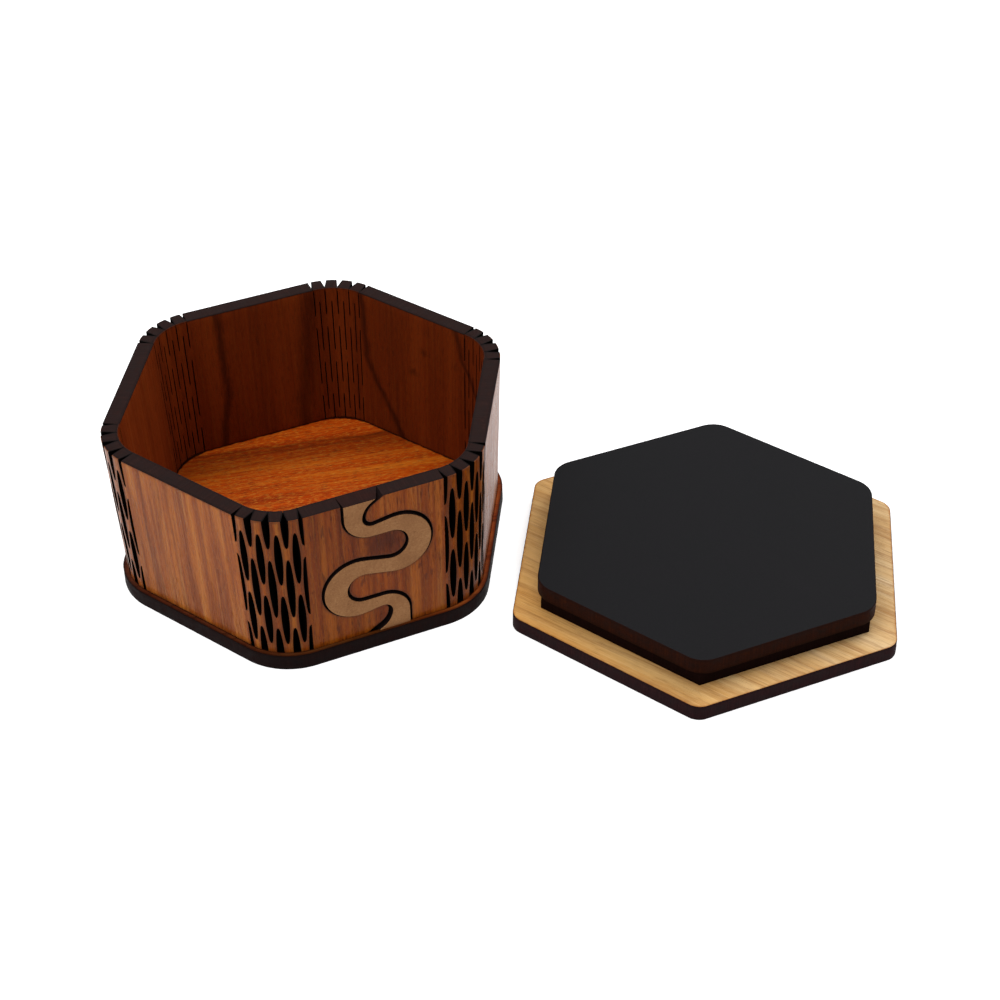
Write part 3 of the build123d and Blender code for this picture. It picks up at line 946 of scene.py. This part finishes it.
# Plates
plate("base_plate", plate_apothem, base_corner, 0, Vector(), 0,
      [cherry_floor, cherry_underside, burnt_edge, base_ledge], "box")
plate("lid_plate", plate_apothem, lid_corner, 0, lid_place, lid_turn,
      [pale_ash, pale_ash, burnt_lid, pale_ash], "lid")
plate("lid_spacer", spacer_apothem, spacer_corner, sheet, lid_place, lid_turn,
      [spacer_char_and_shade] * 4, "lid")
plate("lid_panel", lid_panel_apothem, lid_panel_corner, 2 * sheet, lid_place, lid_turn,
      [black_face, burnt_panel, burnt_panel, black_face], "lid")

# Wall
for step, side in enumerate(["right_front", "right_back", "back", "left_back", "left_front"], start=1):
    wall_panel("panel_" + side, step, wall_finishes)
for step, side in enumerate(["front_right", "right", "back_right", "back_left", "left", "front_left"]):
    living_hinge("hinge_" + side, step, wall_finishes)
seam_half("seam_panel_left", 0, whole_run, seam_finishes)
seam_half("seam_panel_right", 1, 0, seam_finishes)
seam_key([raw_key, burnt_key, seam_cut])

# Studio


def by_ray(tree, unseen, seen):
    """Strength with one value for rays that show the background itself, from the camera, mirrored or through
    glass, and another for all others."""
    rays = tree.nodes.new("ShaderNodeLightPath").outputs
    direct = rays["Is Camera Ray"]
    for kind in ("Is Glossy Ray", "Is Transmission Ray"):
        either = tree.nodes.new("ShaderNodeMath")
        either.operation = "MAXIMUM"
        tree.links.new(direct, either.inputs[0])
        tree.links.new(rays[kind], either.inputs[1])
        direct = either.outputs[0]
    strength = tree.nodes.new("ShaderNodeMapRange")
    tree.links.new(direct, strength.inputs["Value"])
    strength.inputs["To Min"].default_value = unseen
    strength.inputs["To Max"].default_value = seen
    return strength.outputs["Result"]


def soft_box(name, azimuth, elevation, distance, size, power):
    """Square soft light that faces the middle of the object from a direction."""
    lamp = bpy.data.lights.new(name, "AREA")
    lamp.size = size
    lamp.energy = power
    made = bpy.data.objects.new(name, lamp)
    towards = Vector((cos(azimuth) * cos(elevation), sin(azimuth) * cos(elevation), sin(elevation)))
    made.location = light_target + towards * distance
    made.rotation_euler = towards.to_track_quat("Z", "Y").to_euler()
    scene.collection.objects.link(made)


paper_reach = 3.0
paper_glow = 0.62
ambient = 0.45
light_target = Vector((0.03, -0.02, 0.015))

# White paper under the object, which glows where it is seen
floor_mesh = bpy.data.meshes.new("studio_floor")
corners = [(x * paper_reach, y * paper_reach, 0) for x, y in ((-1, -1), (1, -1), (1, 1), (-1, 1))]
floor_mesh.from_pydata(corners, [], [(0, 1, 2, 3)])
studio_floor = bpy.data.objects.new("studio_floor", floor_mesh)
scene.collection.objects.link(studio_floor)
paper = bpy.data.materials.new("white_paper")
paper.use_nodes = True
tree = paper.node_tree
shader = tree.nodes["Principled BSDF"]
shader.inputs["Base Color"].default_value = (0.8, 0.8, 0.8, 1)
shader.inputs["Roughness"].default_value = 0.9
tree.links.new(by_ray(tree, 0.0, paper_glow), shader.inputs["Emission Strength"])
floor_mesh.materials.append(paper)

# World: soft surroundings, white where they are seen
world = bpy.data.worlds.new("studio")
scene.world = world
world.use_nodes = True
tree = world.node_tree
background = tree.nodes["Background"]
background.inputs["Color"].default_value = (1, 1, 1, 1)
tree.links.new(by_ray(tree, ambient, 1.0), background.inputs["Strength"])

soft_box("left_light", radians(-165), radians(48), 0.9, 0.5, 3.0)
soft_box("right_light", radians(15), radians(45), 0.9, 0.5, 2.6)
soft_box("top_light", radians(60), radians(80), 0.9, 0.7, 3.2)

# Camera
view_azimuth = radians(-23.70)
view_elevation = radians(38.83)
view_roll = radians(-0.86)
view_target = Vector((30.20, -21.78, 14.19)) * mm
view_distance = 370.3 * mm
lens = bpy.data.cameras.new("photo_view")
lens.sensor_fit = "HORIZONTAL"
lens.sensor_width = 36
lens.lens = 69.39
camera = bpy.data.objects.new("photo_view", lens)
away = cos(view_elevation)
backward = Vector((sin(view_azimuth) * away, -cos(view_azimuth) * away, sin(view_elevation)))
level = Vector((cos(view_azimuth), sin(view_azimuth), 0))
upright = backward.cross(level)
rightward = level * cos(view_roll) + upright * sin(view_roll)
upward = upright * cos(view_roll) - level * sin(view_roll)
placement = Matrix((rightward, upward, backward)).transposed().to_4x4()
placement.translation = view_target + backward * view_distance
camera.matrix_world = placement
scene.collection.objects.link(camera)
scene.camera = camera
scene.view_settings.view_transform = "Standard"
